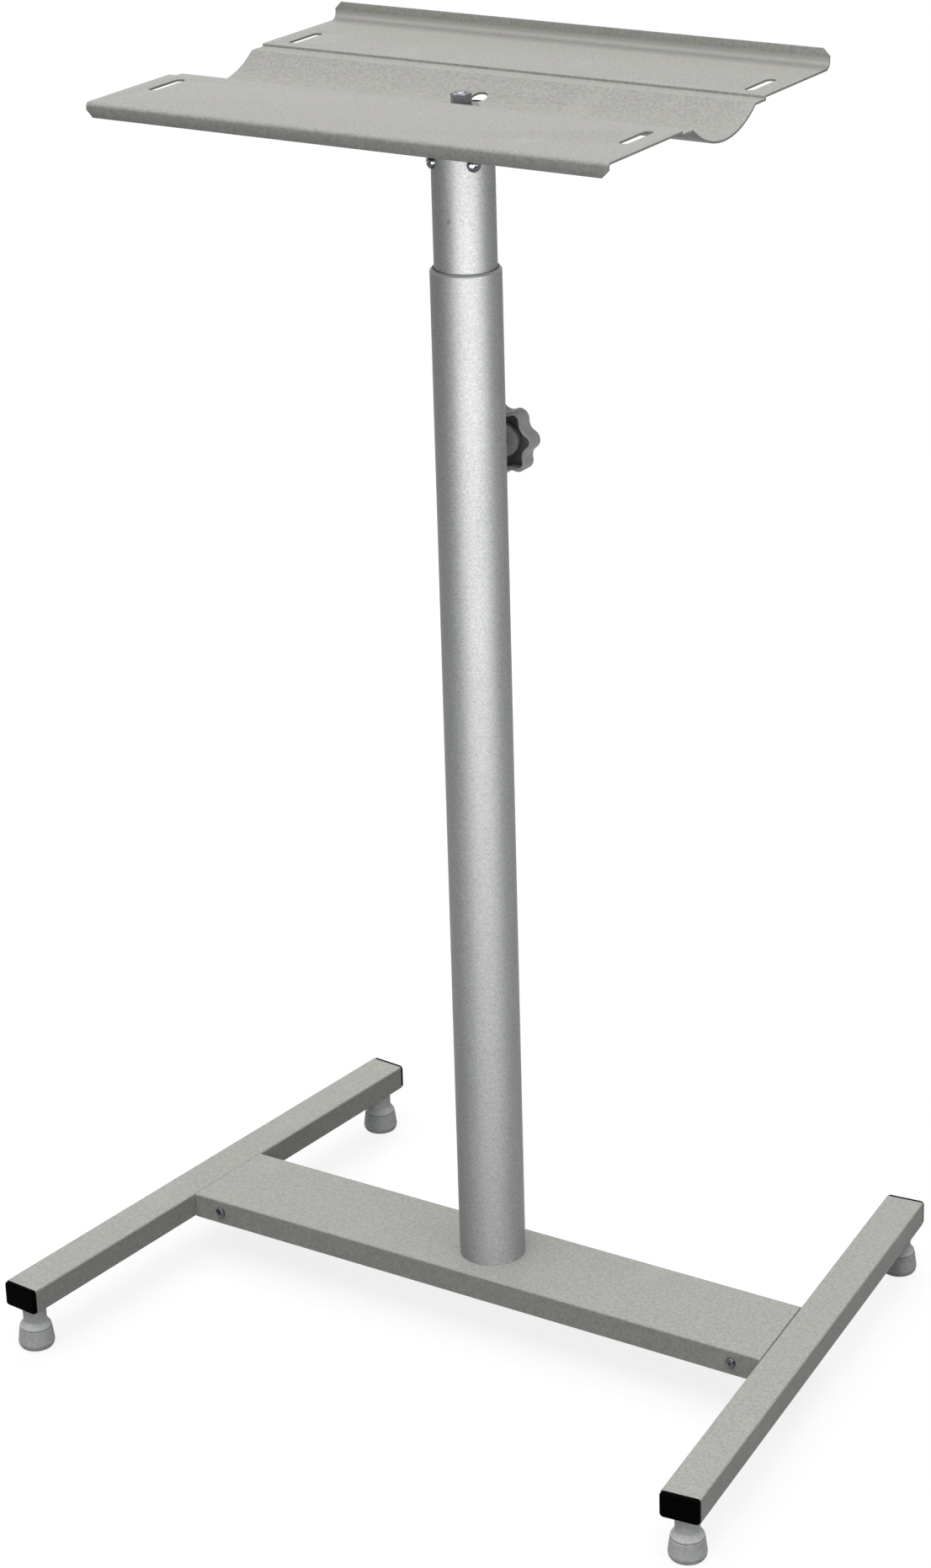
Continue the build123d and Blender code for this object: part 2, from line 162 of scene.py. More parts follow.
class Sheet:
    """The node tree of a material or of the world."""

    def __init__(self, owner: bpy.types.Material | bpy.types.World, output: str) -> None:
        """Clear the owner's tree and give it its output node.

        Args:
            owner: The material or the world.
            output: The output node's type.
        """
        owner.use_nodes = True
        self.tree = owner.node_tree
        self.tree.nodes.clear()
        self.output = self.add(output)

    def add(self, kind: str, settings: dict | None = None, inputs: dict | None = None) -> bpy.types.Node:
        """Add any node: its settings first, then its sockets.

        Args:
            kind: The node's type.
            settings: Attribute values, such as a Math node's operation.
            inputs: Socket name or index to a wire or a constant.

        Returns:
            The new node.
        """
        made = self.tree.nodes.new(kind)
        for key, value in (settings or {}).items():
            setattr(made, key, value)
        for key, value in (inputs or {}).items():
            self.plug(made.inputs[key], value)
        return made

    def node(
        self, kind: str, settings: dict | None = None, inputs: dict | None = None, out: int | str = 0
    ) -> Wire:
        """Add any node and take one of its outputs.

        Args:
            kind: The node's type.
            settings: Attribute values.
            inputs: Socket name or index to a wire or a constant.
            out: The output socket that is returned.

        Returns:
            The chosen output as a wire.
        """
        return Wire(self, self.add(kind, settings, inputs).outputs[out])

    def plug(self, socket: bpy.types.NodeSocket, value: Value) -> None:
        """Link a wire to a socket, or set a constant on it.

        Args:
            socket: The input socket.
            value: A wire, a number or a colour.
        """
        if isinstance(value, Wire):
            self.tree.links.new(value.socket, socket)
        elif isinstance(value, tuple) and socket.type == "RGBA" and len(value) == 3:
            socket.default_value = (*value, 1.0)
        else:
            socket.default_value = value

    def finish(self, shader: Wire) -> None:
        """Lead a shader to the output."""
        self.plug(self.output.inputs[0], shader)

    def seen(self) -> Wire:
        """Where the camera, a reflection or a refraction looks.

        Returns:
            One there, and 0 for the light that falls on things.
        """
        path = self.add("ShaderNodeLightPath")
        share = Wire(self, path.outputs["Is Camera Ray"])
        for name in ("Is Glossy Ray", "Is Transmission Ray"):
            share = share.at_least(Wire(self, path.outputs[name]))
        return share

    def place(self, stretch: Place = (1.0, 1.0, 1.0)) -> Wire:
        """Position on the object, in metres, scaled along each axis.

        Args:
            stretch: Scale along X, Y and Z.

        Returns:
            The scaled position.
        """
        spot = self.node("ShaderNodeTexCoord", out="Object")
        return self.vector("MULTIPLY", spot, stretch)

    def vector(
        self, operation: str, first: Value, second: Value = (0.0, 0.0, 0.0), out: int | str = 0
    ) -> Wire:
        """Join two vectors with a Vector Math node.

        Args:
            operation: The node's operation.
            first: A wire or a vector.
            second: A wire or a vector.
            out: The output socket that is returned.

        Returns:
            The result.
        """
        return self.node("ShaderNodeVectorMath", {"operation": operation}, {0: first, 1: second}, out)

    def axis(self, spot: Wire, name: str) -> Wire:
        """One part of a vector: X, Y or Z."""
        return self.node("ShaderNodeSeparateXYZ", {}, {0: spot}, name)

    def noise(self, scale: float, stretch: Place = (1.0, 1.0, 1.0), detail: float = 3.0) -> Wire:
        """Noise from 0 to 1, mostly near 0.5.

        Args:
            scale: Blotches in a metre, about.
            stretch: Scale along each axis before the noise.
            detail: Octaves.

        Returns:
            The noise value.
        """
        wanted = {"Vector": self.place(stretch), "Scale": scale, "Detail": detail}
        return self.node("ShaderNodeTexNoise", {}, wanted)

    def ramp(self, value: Wire, low: float, high: float) -> Wire:
        """Spread a value from low..high over 0..1, clamped.

        Args:
            value: The value to spread.
            low: What becomes 0.
            high: What becomes 1.

        Returns:
            The spread value.
        """
        wanted = {"Value": value, "From Min": low, "From Max": high}
        return self.node("ShaderNodeMapRange", {"clamp": True}, wanted)

    def blend(self, factor: Value, first: Value, second: Value) -> Wire:
        """Mix two colours.

        Args:
            factor: Share of the second colour.
            first: A colour or a wire.
            second: A colour or a wire.

        Returns:
            The mixed colour.
        """
        return self.node("ShaderNodeMix", {"data_type": "RGBA"}, {0: factor, 6: first, 7: second}, out=2)

    def near_level(self, level: float, half: float) -> Wire:
        """One at a height on the object, fading to 0 above and below it.

        Args:
            level: The height, in metres.
            half: Distance at which it has faded out.

        Returns:
            The share.
        """
        height = self.axis(self.place(), "Z")
        away = self.node("ShaderNodeMath", {"operation": "ABSOLUTE"}, {0: height - level})
        return self.ramp(away, half, half * 0.4)

    def bump(self, height: Wire, strength: float, distance: float) -> Wire:
        """Turn a height into a normal.

        Args:
            height: The height, 0 to 1.
            strength: Share of the full effect.
            distance: Metres for a height of 1.

        Returns:
            The bent normal.
        """
        wanted = {"Strength": strength, "Distance": distance, "Height": height}
        return self.node("ShaderNodeBump", {}, wanted, "Normal")


class Surface(Sheet):
    """A material's node tree, with its principled shader."""

    def __init__(self, name: str) -> None:
        """Start an empty material.

        Args:
            name: The material's name.
        """
        self.material = bpy.data.materials.new(name)
        super().__init__(self.material, "ShaderNodeOutputMaterial")
        self.shader = self.add("ShaderNodeBsdfPrincipled")
        self.finish(Wire(self, self.shader.outputs[0]))

    def set(self, **sockets: Value) -> None:
        """Set the principled shader's sockets by name, with _ for a space."""
        for key, value in sockets.items():
            self.plug(self.shader.inputs[key.replace("_", " ")], value)


def shade(colour: Colour, factor: float) -> Colour:
    """A colour made lighter or darker.

    Args:
        colour: Linear red, green and blue.
        factor: What each is multiplied by.

    Returns:
        The new colour, at most 1 in each part.
    """
    return tuple(min(1.0, part * factor) for part in colour)


def tinted(colour: Colour, by: Colour) -> Colour:
    """A colour multiplied part by part by another."""
    return tuple(part * change for part, change in zip(colour, by))


@dataclass(frozen=True)
class PowderCoat:
    """Fine-grained silver-grey powder coat on folded steel."""

    name: str
    tone: Colour = (0.405, 0.399, 0.375)
    grain: float = 1400.0
    fleck: float = 460.0
    roughness: float = 0.45
    # Where painted shade and a painted highlight run along the rear corner: its place along Y and its
    # level.
    corner: tuple[float, float] | None = None
    corner_width: float = 8.0 * MM
    corner_edge: float = 1.5 * MM

    def material(self) -> bpy.types.Material:
        """Build the coat: fine grain, faint clouding, handling marks and, where a corner is given, painted
        shade and a painted highlight along it.

        Returns:
            The material.
        """
        s = Surface(self.name)
        fine = s.noise(self.grain, detail=2.0)
        cloud = s.ramp(s.noise(9.0, detail=4.0), *CLOUD_SPAN)
        # Handling marks: lighter, glossier streaks worn into the coat.
        rubbed_and_highlight = s.ramp(s.noise(38.0, (1.0, 0.35, 1.0)), 0.58, 0.72)
        warm = s.ramp(s.noise(95.0, detail=2.0), 0.4, 0.6)
        base = s.blend(warm, tinted(self.tone, COOLER), tinted(self.tone, WARMER))
        base = s.blend(0.5 * cloud, base, shade(self.tone, 1.05))
        light = s.blend(0.4, base, shade(self.tone, 1.3))
        flecks = s.ramp(s.noise(self.fleck), *SPECK_SPAN)
        tone = s.blend(0.7 * flecks, shade(self.tone, 0.8), light)
        tone = s.blend(rubbed_and_highlight * 0.25, tone, shade(self.tone, 1.08))
        # Painted shade and a painted highlight along the tray's rear corner.
        if self.corner is not None:
            tone = self.corner_shade_and_highlight(s, tone)
        s.set(
            Base_Color=tone,
            Roughness=self.roughness + 0.06 * cloud - 0.08 * rubbed_and_highlight,
            Specular_IOR_Level=0.13,
            Normal=s.bump(fine, 0.35, 0.12 * MM),
        )
        return s.material

    def corner_shade_and_highlight(self, s: Sheet, tone: Wire) -> Wire:
        """Painted shade in the tray's rear corner and a painted highlight on the bend above it.

        Args:
            s: The tree that gets the nodes.
            tone: The coat's colour so far.

        Returns:
            The colour with the painted shade and highlight.
        """
        along, level = self.corner
        spot = s.place()
        above = s.axis(spot, "Z") - level
        behind = s.ramp(s.axis(spot, "Y"), along - self.corner_width, along - self.corner_edge)
        # Painted shade: a soft dark band at the foot of the rear lip, where the lip shades the plate.
        painted_corner_shade = behind * s.ramp(above, 2.2 * MM, 0.8 * MM)
        # Painted highlight: a lighter band up the rear bend, where its gloss would catch the light.
        rubbed_and_highlight = behind * s.ramp(above, 1.2 * MM, 3.0 * MM) * s.ramp(above, 7.8 * MM, 5.2 * MM)
        with_painted_shade = s.blend(painted_corner_shade * 0.6, tone, shade(self.tone, 0.6))
        return s.blend(rubbed_and_highlight * 0.8, with_painted_shade, shade(self.tone, 1.45))


@dataclass(frozen=True)
class SatinTube:
    """Satin aluminium tube with a fine blasted speckle."""

    name: str
    tone: Colour = (0.252, 0.256, 0.254)
    scuff: Place | None = None
    scuff_out: float = 3.5 * MM
    scuff_in: float = 1.8 * MM
    scuff_tone: Colour = (0.03, 0.05, 0.055)

    def material(self) -> bpy.types.Material:
        """Build the metal: faint drawn lines, speckle and a scuff where one is given.

        Returns:
            The material.
        """
        s = Surface(self.name)
        lines = s.noise(900.0, (1.0, 1.0, 0.03), detail=2.0)
        speckle = s.noise(700.0, (1.0, 1.0, 1.2))
        cloud = s.ramp(s.noise(22.0, (1.0, 1.0, 0.6)), *CLOUD_SPAN)
        tone = s.blend(s.ramp(lines, 0.3, 0.7), shade(self.tone, 0.97), shade(self.tone, 1.03))
        bright = s.blend(0.5, tone, shade(self.tone, 1.75))
        tone = s.blend(0.28 + 0.44 * s.ramp(speckle, *SPECK_SPAN), shade(self.tone, 0.62), bright)
        if self.scuff is not None:
            away = s.vector("DISTANCE", s.place(), self.scuff, "Value")
            ragged = away + 2.2 * MM * s.noise(700.0)
            mark = s.ramp(ragged, self.scuff_out, self.scuff_in)
            tone = s.blend(mark * 0.5, tone, self.scuff_tone)
        s.set(
            Base_Color=tone,
            Metallic=0.3,
            Roughness=0.52 + 0.05 * cloud,
            Specular_IOR_Level=0.3,
            Normal=s.bump(speckle, 0.15, 0.05 * MM),
        )
        return s.material


@dataclass(frozen=True)
class Hollow:
    """The star-shaped hollow in the knob's open side, darkened with painted shade."""

    middle: Place
    radius: float = 22.6 * MM
    swing: float = 2.2 * MM
    lobes: int = 7
    turn: float = 5.1
    start: float = 2.8 * MM
    full: float = 8.5 * MM
    edge: float = 0.6 * MM
    # How dark the painted shade makes the deepest part of the hollow.
    dark: float = 0.28

    def painted_shade(self, s: Sheet) -> Wire:
        """Share of painted shade: it grows with depth, inside the star.

        Args:
            s: The tree that gets the nodes.

        Returns:
            0 on open faces, 1 deep in the hollow.
        """
        spot = s.vector("SUBTRACT", s.place(), self.middle)
        across, depth, up = (s.axis(spot, name) for name in "XYZ")
        away = s.vector("LENGTH", s.vector("MULTIPLY", spot, (1.0, 0.0, 1.0)), out="Value")
        angle = s.node("ShaderNodeMath", {"operation": "ARCTAN2"}, {0: up, 1: across})
        phase = self.lobes * (angle - math.radians(self.turn))
        wave = s.node("ShaderNodeMath", {"operation": "COSINE"}, {0: phase})
        inside = s.ramp(away - self.swing * wave, self.radius, self.radius - self.edge)
        # Painted shade: darker with depth into the hollow, where shadow falls.
        deep = s.ramp(depth, self.start, self.full)
        floor = s.ramp(depth, self.full + 2 * self.edge, self.full + self.edge)
        return inside * deep * floor


@dataclass(frozen=True)
class Moulding:
    """Moulded plastic or rubber with a fine spark texture."""

    name: str
    tone: Colour
    roughness: float = 0.45
    gloss: float = 0.4
    grain: float = 1100.0
    depth: float = 0.08 * MM
    mottle: float = 0.08
    joint: float | None = None
    joint_half: float = 0.5 * MM
    hollow: Hollow | None = None

    def material(self) -> bpy.types.Material:
        """Build the plastic: fine texture, mottling, a dark joint line, and painted shade in a hollow.

        Returns:
            The material.
        """
        s = Surface(self.name)
        fine = s.noise(self.grain, detail=2.0)
        cloud = s.ramp(s.noise(60.0), *CLOUD_SPAN)
        spots = s.ramp(s.noise(420.0), *SPECK_SPAN)
        low, high = shade(self.tone, 1 - self.mottle), shade(self.tone, 1 + self.mottle)
        tone = s.blend(cloud * 0.3 + spots * 0.7, low, high)
        if self.joint is not None:
            line = s.near_level(self.joint, self.joint_half)
            tone = s.blend(line * 0.75, tone, shade(self.tone, 0.2))
        if self.hollow is not None:
            # Painted shade deep in the knob's hollow, darker with depth.
            tone = s.blend(self.hollow.painted_shade(s), tone, shade(self.tone, self.hollow.dark))
        s.set(
            Base_Color=tone,
            Roughness=self.roughness + 0.08 * cloud,
            Specular_IOR_Level=self.gloss,
            Normal=s.bump(fine, 0.35, self.depth),
        )
        return s.material


@dataclass(frozen=True)
class ZincPlate:
    """Bright zinc plate on small steel pieces."""

    name: str
    tone: Colour = (0.2, 0.21, 0.22)
    roughness: float = 0.3
    metallic: float = 0.9

    def material(self) -> bpy.types.Material:
        """Build the plate: soft mottling and a fine grain.

        Returns:
            The material.
        """
        s = Surface(self.name)
        mottle = s.ramp(s.noise(420.0), *CLOUD_SPAN)
        tint = s.blend(mottle, self.tone, shade(self.tone, 1.3))
        s.set(
            Base_Color=tint,
            Metallic=self.metallic,
            Roughness=self.roughness + 0.12 * mottle,
            Normal=s.bump(s.noise(1800.0), 0.2, 0.05 * MM),
        )
        return s.material


# Mesh building


def linked(name: str, data: bpy.types.ID) -> bpy.types.Object:
    """Put a mesh, a lamp or a camera in the scene.

    Args:
        name: The object's name.
        data: The mesh, lamp or camera.

    Returns:
        The new object.
    """
    made = bpy.data.objects.new(name, data)
    bpy.context.scene.collection.objects.link(made)
    return made


def new_piece(
    name: str, mesh: bpy.types.Mesh, body: Body, material: bpy.types.Material
) -> bpy.types.Object:
    """Put a mesh in the scene as a piece of the object.

    Args:
        name: The piece's name.
        mesh: Its mesh, in metres in the shared frame.
        body: The body that it rides on.
        material: Its material.

    Returns:
        The new object.
    """
    piece = linked(name, mesh)
    mesh.materials.clear()
    mesh.materials.append(material)
    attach(piece, body.value)
    log.info("%s rides on %s", name, body.value)
    return piece


def grid_mesh(name: str, rows: list[list[Vector]], capped: bool = True) -> bpy.types.Mesh:
    """Skin closed rings of points, one ring after another.

    Args:
        name: The mesh's name.
        rows: Rings with the same number of points each.
        capped: Whether the first and last rings are filled.

    Returns:
        The mesh, with smooth faces and sharp edges over 35 degrees.
    """
    bm = bmesh.new()
    rings = [[bm.verts.new(point) for point in row] for row in rows]
    count = len(rings[0])
    for low, high in zip(rings, rings[1:]):
        for i in range(count):
            j = (i + 1) % count
            bm.faces.new((low[i], low[j], high[j], high[i]))
    if capped:
        bm.faces.new(reversed(rings[0]))
        bm.faces.new(rings[-1])
    else:
        for i in range(count):
            j = (i + 1) % count
            bm.faces.new((rings[-1][i], rings[-1][j], rings[0][j], rings[0][i]))
    bmesh.ops.remove_doubles(bm, verts=bm.verts, dist=1e-7)
    bmesh.ops.recalc_face_normals(bm, faces=bm.faces)
    mesh = bpy.data.meshes.new(name)
    bm.to_mesh(mesh)
    bm.free()
    mesh.polygons.foreach_set("use_smooth", [True] * len(mesh.polygons))
    mesh.set_sharp_from_angle(angle=SHARP)
    return mesh


def turned_rows(profile: Profile, segments: int) -> list[list[Vector]]:
    """Rings of a turned shape.

    Args:
        profile: Radius and height of each ring, in metres.
        segments: Points in a ring.

    Returns:
        The rings, about Z.
    """
    turns = [2 * math.pi * i / segments for i in range(segments)]
    return [[Vector((r * math.cos(a), r * math.sin(a), z)) for a in turns] for r, z in profile]


def reshaped(mesh: bpy.types.Mesh, kind: str, settings: dict) -> bpy.types.Mesh:
    """Apply one modifier to a mesh.

    Args:
        mesh: The mesh; it is used up.
        kind: The modifier's type.
        settings: The modifier's attribute values.

    Returns:
        The changed mesh, with sharp edges over 35 degrees.
    """
    body = linked("reshaped_body", mesh)
    change = body.modifiers.new("change", kind)
    for key, value in settings.items():
        setattr(change, key, value)
    bpy.context.view_layer.update()
    result = bpy.data.meshes.new_from_object(body.evaluated_get(bpy.context.evaluated_depsgraph_get()))
    bpy.data.objects.remove(body)
    bpy.data.meshes.remove(mesh)
    result.set_sharp_from_angle(angle=SHARP)
    return result


def cut(mesh: bpy.types.Mesh, cutter: bpy.types.Mesh) -> bpy.types.Mesh:
    """Take one closed mesh out of another.

    Args:
        mesh: The mesh that is cut; it is used up.
        cutter: The mesh that cuts; it is used up.

    Returns:
        The cut mesh.
    """
    tool = linked("cut_tool", cutter)
    result = reshaped(mesh, "BOOLEAN", {"operation": "DIFFERENCE", "solver": "EXACT", "object": tool})
    bpy.data.objects.remove(tool)
    bpy.data.meshes.remove(cutter)
    return result


def softened(mesh: bpy.types.Mesh, width: float) -> bpy.types.Mesh:
    """Break a mesh's sharp edges with a small bevel.

    Args:
        mesh: The mesh; it is used up.
        width: The bevel's width.

    Returns:
        The bevelled mesh.
    """
    settings = {"width": width, "segments": 2, "limit_method": "ANGLE", "angle_limit": math.radians(50)}
    return reshaped(mesh, "BEVEL", {**settings, "harden_normals": False})


@dataclass(frozen=True)
class PanScrew:
    """Domed screw head with a cross recess."""

    radius: float
    height: float
    arm: float = 0.55
    width: float = 0.22
    depth: float = 0.62
    segments: int = 48
    steps: int = 9
    seat: float = 0.94
    sunk: float = 0.3 * MM

    def dome(self) -> Profile:
        """The head's profile.

        Returns:
            Radius and height, from the seat to the crown.
        """
        rim, seat = self.height * 0.28, self.radius * self.seat
        outline = [(seat, -self.sunk), (seat, 0.0), (self.radius, self.height * 0.08), (self.radius, rim)]
        for i in range(1, self.steps + 1):
            angle = math.pi / 2 * i / self.steps
            rise = (self.height - rim) * math.sin(angle)
            outline.append((self.radius * math.cos(angle) + TINY, rim + rise))
        return outline

    def arm_mesh(self, turn: float) -> bpy.types.Mesh:
        """One tapered bar of the cross recess.

        Args:
            turn: The bar's angle about the head's axis.

        Returns:
            A closed cutter.
        """
        top, low = self.height * 1.3, self.height * (1 - self.depth)
        reach, half = self.radius * self.arm, self.radius * self.width / 2
        spin = Matrix.Rotation(turn, 3, "Z")
        rings = []
        for z, long, wide in ((low, reach * 0.35, half * 0.55), (top, reach * 1.05, half * 1.05)):
            corners = ((-long, -wide), (long, -wide), (long, wide), (-long, wide))
            rings.append([spin @ Vector((x, y, z)) for x, y in corners])
        return grid_mesh("recess", rings)

    def mesh(self, spin: float) -> bpy.types.Mesh:
        """The head, seat at the origin and crown towards +Z.

        Args:
            spin: Turn of the cross about the head's axis, in radians.

        Returns:
            The finished mesh.
        """
        head = grid_mesh("pan_head", turned_rows(self.dome(), self.segments))
        for quarter in (0.0, math.pi / 2):
            head = cut(head, self.arm_mesh(spin + quarter))
        return head

    def at(self, spot: Vector, outward: Vector, spin: float) -> bpy.types.Mesh:
        """The head on a surface.

        Args:
            spot: Where the seat's middle lies.
            outward: The direction that the crown faces.
            spin: Turn of the cross.

        Returns:
            The placed mesh.
        """
        mesh = self.mesh(spin)
        turn = Vector((0, 0, 1)).rotation_difference(outward).to_matrix().to_4x4()
        mesh.transform(Matrix.Translation(spot) @ turn)
        return mesh


@dataclass(frozen=True)
class ScrewThread:
    """Rod with a real helical thread, drawn along +Z from the origin."""

    crest: float
    pitch: float
    length: float
    point: float = 0.8 * MM
    thread_depth: float = 0.61
    segments: int = 40
    steps: int = 8

    def mesh(self) -> bpy.types.Mesh:
        """The threaded rod, pointed a little at both ends.

        Returns:
            The finished mesh.
        """
        root = self.crest - self.thread_depth * self.pitch
        count = max(2, int(self.length / self.pitch * self.steps))
        rows = []
        for k in range(count + 1):
            z = self.length * k / count
            edge = min(1.0, min(z, self.length - z) / self.point)
            limit = root + (self.crest - root) * edge
            row = []
            for i in range(self.segments):
                wave = (z / self.pitch - i / self.segments) % 1.0
                ridge = 1.0 - abs(2.0 * wave - 1.0)
                radius = min(limit, root + (self.crest - root) * min(1.0, 1.25 * ridge))
                angle = 2 * math.pi * i / self.segments
                row.append(Vector((radius * math.cos(angle), radius * math.sin(angle), z)))
            rows.append(row)
        return grid_mesh("thread", rows)


@dataclass(frozen=True)
class HexForm:
    """Hexagon with its corners chamfered by a cone at either end, drawn up from the origin."""

    across: float
    height: float
    bore: float = 0.01 * MM
    low_end: bool = True
    high_end: bool = True
    segments: int = 96

    def edge_radius(self, angle: float) -> float:
        """Distance from the axis to the hexagon's side in one direction."""
        return self.across / 2 / math.cos((angle + math.pi / 6) % (math.pi / 3) - math.pi / 6)

    def mesh(self) -> bpy.types.Mesh:
        """The nut or the bolt's head.

        Returns:
            The finished mesh.
        """
        flat = self.across / 2 * 0.97
        turns = [2 * math.pi * i / self.segments for i in range(self.segments)]
        drop = {a: max(0.0, self.edge_radius(a) - flat) * math.tan(math.radians(30)) for a in turns}

        def row(radius: Callable[[float], float], height: Callable[[float], float]) -> list[Vector]:
            """One ring with its radius and height given for each direction."""
            return [Vector((radius(a) * math.cos(a), radius(a) * math.sin(a), height(a))) for a in turns]

        rows = [
            row(lambda a: self.bore, lambda a: 0.0),
            row(lambda a: flat, lambda a: 0.0),
            row(self.edge_radius, lambda a: self.low_end * drop[a]),
            row(self.edge_radius, lambda a: self.height - self.high_end * drop[a]),
            row(lambda a: flat, lambda a: self.height),
            row(lambda a: self.bore, lambda a: self.height),
        ]
        return grid_mesh("hexagon", rows, capped=False)


def joined(meshes: list[bpy.types.Mesh]) -> bpy.types.Mesh:
    """Gather meshes into one.

    Args:
        meshes: The meshes; they are used up.

    Returns:
        One mesh with all their faces.
    """
    bm = bmesh.new()
    for mesh in meshes:
        bm.from_mesh(mesh)
    whole = bpy.data.meshes.new("joined")
    bm.to_mesh(whole)
    bm.free()
    for mesh in meshes:
        bpy.data.meshes.remove(mesh)
    whole.set_sharp_from_angle(angle=SHARP)
    return whole


@dataclass(frozen=True)
class Bolt:
    """Bolt that stands on its head, with a threaded shank."""

    head: HexForm
    crest: float
    pitch: float
    inside: float = 4 * MM

    def mesh(self, low: float, top: float) -> bpy.types.Mesh:
        """The head with the shank, which starts inside it.

        Args:
            low: Height of the head's lower face.
            top: Height of the shank's end.

        Returns:
            One mesh of both.
        """
        head = self.head.mesh()
        head.transform(Matrix.Translation((0, 0, low)))
        rod = ScrewThread(self.crest, self.pitch, top - low - self.inside).mesh()
        rod.transform(Matrix.Translation((0, 0, low + self.inside)))
        return joined([head, rod])


# Sub-assemblies


class Finishes:
    """Every material of the stand, made once."""

    def __init__(self) -> None:
        """Make the materials by slot."""
        low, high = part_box("star_knob")
        hollow = Hollow(((low.x + high.x) / 2, low.y, (low.z + high.z) / 2))
        foot = {"gloss": 0.2, "joint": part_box("left_front_foot_tip")[1].z}
        knob = {"gloss": 0.2, "depth": 0.12 * MM, "hollow": hollow}
        low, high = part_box("inner_tube")
        radius = (high.x - low.x) / 2
        scuff = (0.05 * radius, -0.999 * radius, high.z - 68 * MM)
        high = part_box("tray")[1]
        # Where the tray's painted corner shade and painted highlight run: along Y and at the plate's level.
        corner = (high.y - 6.5 * MM, high.z - 12.8 * MM)
        self.by_slot = {
            Slot.COAT: PowderCoat("silver_powder_coat").material(),
            Slot.TUBE: SatinTube("satin_outer_tube").material(),
            Slot.CAP: Moulding("black_cap", (0.001, 0.001, 0.001), 0.36, gloss=0.008).material(),
            Slot.COLLAR: Moulding("grey_collar", (0.7, 0.7, 0.695), 0.5, mottle=0.14, **foot).material(),
            Slot.TIP: Moulding("grey_rubber", (0.55, 0.55, 0.545), 0.62, mottle=0.16, **foot).material(),
            Slot.BUSH: Moulding("pale_rim", (0.88, 0.88, 0.88), 0.35).material(),
            Slot.KNOB: Moulding("grey_knob", (0.72, 0.72, 0.695), 0.42, **knob).material(),
            Slot.ZINC: ZincPlate("bright_zinc").material(),
        }
        self.by_node = {
            "inner_tube": SatinTube("satin_inner_tube", scuff=scuff).material(),
            "top_plug": Moulding("black_plug", (0.006, 0.006, 0.006), 0.5, gloss=0.1).material(),
        }
        self.stud = ZincPlate("dull_zinc", (0.2, 0.2, 0.2), 0.55, 0.3).material()
        self.screw = ZincPlate("screw_zinc", (0.08, 0.085, 0.09), 0.1).material()
        self.tray_coat = PowderCoat("tray_powder_coat", corner=corner).material()

    def dress_nodes(self) -> None:
        """Give every carried node the finish of its slot."""
        for part in frame["record"]["subparts"]:
            name = part["node"]
            material = self.by_node.get(name, self.by_slot[Slot(part["material_slot"])])
            mesh = frame["nodes"][name].data
            mesh.materials.clear()
            mesh.materials.append(material)
            log.info("%s wears %s", name, material.name)


@dataclass
class Base:
    """The beam's screws and the column's bolt."""

    finishes: Finishes
    screw: PanScrew = PanScrew(4.0 * MM, 2.7 * MM)
    screw_in: float = 24 * MM
    bolt_across: float = 17 * MM
    bolt_crest: float = 5 * MM
    bolt_pitch: float = 1.5 * MM

    def beam_screws(self) -> None:
        """Pan heads on the beam's front and rear faces, near each rail."""
        low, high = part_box("cross_beam")
        reach = high.x - self.screw_in
        for side, hand in ((-1, "left"), (1, "right")):
            for face, place in ((-1, "front"), (1, "rear")):
                y = low.y if face < 0 else high.y
                spot = Vector((side * reach, y, (low.z + high.z) / 2))
                mesh = self.screw.at(spot, Vector((0, face, 0)), 0.35 + 0.5 * side + 0.2 * face)
                new_piece(f"beam_screw_{hand}_{place}", mesh, Body.BASE, self.finishes.screw)

    def column_bolt(self) -> None:
        """Chamfered hexagon head and threaded shank in place of the plain bolt."""
        low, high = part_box("base_bolt")
        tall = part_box("base_washer")[0].z - low.z
        bolt = Bolt(HexForm(self.bolt_across, tall, high_end=False), self.bolt_crest, self.bolt_pitch)
        mesh = bolt.mesh(low.z, high.z)
        piece = new_piece("column_bolt", mesh, Body.BASE, self.finishes.by_slot[Slot.ZINC])
        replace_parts(piece, "base_bolt")

    def build(self) -> None:
        """Make everything on the base."""
        self.beam_screws()
        self.column_bolt()


@dataclass
class Clamp:
    """The clamp's threaded stud."""

    finishes: Finishes
    pitch: float = 1.25 * MM

    def build(self) -> None:
        """A threaded rod in place of the plain stud."""
        low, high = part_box("clamp_stud")
        rod = ScrewThread((high.x - low.x) / 2, self.pitch, high.y - low.y).mesh()
        turn = Matrix.Rotation(math.radians(-90), 4, "X")
        rod.transform(Matrix.Translation((0, low.y, (low.z + high.z) / 2)) @ turn)
        piece = new_piece("stud_thread", rod, Body.KNOB, self.finishes.stud)
        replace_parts(piece, "clamp_stud")


